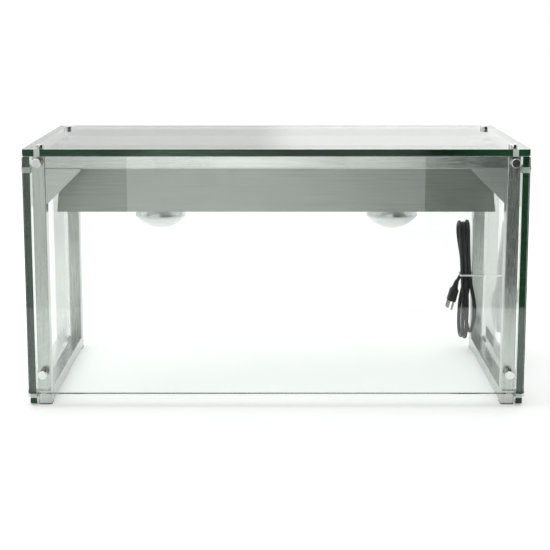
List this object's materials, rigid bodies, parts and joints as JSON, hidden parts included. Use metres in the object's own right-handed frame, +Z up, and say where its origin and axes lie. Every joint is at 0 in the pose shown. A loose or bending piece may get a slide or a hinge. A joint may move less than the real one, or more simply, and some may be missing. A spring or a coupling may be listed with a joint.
{
  "type": "hot food display case",
  "caption": "Glass-cased countertop warmer, open at the rear: square tube frame, bolted glass panes, and a lamp housing with reflector lamps under the top.",
  "frame": {"origin": "on the counter, under the middle of the case's box with its polished caps counted", "axes": "+X to the right seen from the customer's side, +Y from the glazed front to the open rear, +Z up"},
  "size_m": [0.978, 0.4444, 0.5145],
  "materials": {
    "frame_steel": "stainless steel tube with a fine lengthwise grain",
    "gusset_steel": "brushed stainless plate",
    "housing_steel": "brushed stainless sheet",
    "reflector": "bright rolled aluminium",
    "pane_glass": "clear toughened float glass with polished green edges",
    "cap_steel": "polished stainless steel",
    "spacer_steel": "turned stainless steel",
    "nylon": "natural nylon",
    "zinc_steel": "zinc plated steel",
    "porcelain": "glazed porcelain",
    "contact_brass": "nickel plated brass",
    "lamp_glass": "blown glass, silvered behind and frosted on its face",
    "tungsten": "glass stem and tungsten wire",
    "block_plastic": "moulded nylon",
    "wire_sleeve": "silicone rubber sleeve",
    "switch_plastic": "moulded nylon",
    "rocker_plastic": "moulded nylon, semi-gloss",
    "foot_rubber": "moulded rubber",
    "cord_rubber": "black cord jacket",
    "plug_rubber": "moulded black vinyl",
    "prong_brass": "nickel plated brass",
    "tie_nylon": "white nylon",
    "label_foil": "blank foil plate"
  },
  "bodies": {
    "case": {"left_front_post": "frame_steel", "left_rear_post": "frame_steel", "left_bottom_rail": "frame_steel", "left_top_rail": "frame_steel", "right_front_post": "frame_steel", "right_rear_post": "frame_steel", "right_bottom_rail": "frame_steel", "right_top_rail": "frame_steel", "front_top_rail": "frame_steel", "rear_top_rail": "frame_steel", "front_gussets": "gusset_steel", "rear_gussets": "gusset_steel", "foot_plugs": "foot_rubber", "rivet_nuts": "zinc_steel", "top_glass": "pane_glass", "front_glass": "pane_glass", "left_glass": "pane_glass", "right_glass": "pane_glass", "glass_sleeves": "nylon", "top_caps": "cap_steel", "front_caps": "cap_steel", "left_caps": "cap_steel", "right_caps": "cap_steel", "top_washers": "nylon", "front_spacers": "spacer_steel", "left_spacers": "spacer_steel", "right_spacers": "spacer_steel", "top_studs": "zinc_steel", "front_studs": "zinc_steel", "left_studs": "zinc_steel", "right_studs": "zinc_steel", "housing_shell": "housing_steel", "housing_left_end": "housing_steel", "housing_right_end": "housing_steel", "reflector_plate": "reflector", "plate_screws": "zinc_steel", "hanger_brackets": "housing_steel", "bracket_screws": "zinc_steel", "socket_brackets": "housing_steel", "socket_screws": "zinc_steel", "left_socket": "porcelain", "right_socket": "porcelain", "socket_contacts": "contact_brass", "terminal_block": "block_plastic", "lamp_wiring": "wire_sleeve", "switch_body": "switch_plastic", "cord_grip": "switch_plastic", "cord_lead": "cord_rubber", "cord_hank": "cord_rubber", "cord_plug": "plug_rubber", "plug_prongs": "prong_brass", "cord_tie": "tie_nylon", "rating_label": "label_foil"},
    "rocker": {"switch_rocker": "rocker_plastic"},
    "left_lamp": {"left_lamp_envelope": "lamp_glass", "left_lamp_base": "contact_brass", "left_lamp_filament": "tungsten"},
    "right_lamp": {"right_lamp_envelope": "lamp_glass", "right_lamp_base": "contact_brass", "right_lamp_filament": "tungsten"}
  },
  "joints": [
    {"name": "rocker_tilt", "type": "hinge", "parent": "case", "child": "rocker", "pos_m": [0.34, 0.09866, 0.42987], "axis": [1, 0, 0], "range_deg": [0, 24]},
    {"name": "left_lamp_turn", "type": "hinge", "parent": "case", "child": "left_lamp", "pos_m": [-0.241, 0.01275, 0.448], "axis": [0, 0, -1], "range_deg": [0, 90]},
    {"name": "right_lamp_turn", "type": "hinge", "parent": "case", "child": "right_lamp", "pos_m": [0.241, 0.01275, 0.448], "axis": [0, 0, -1], "range_deg": [0, 90]}
  ]
}
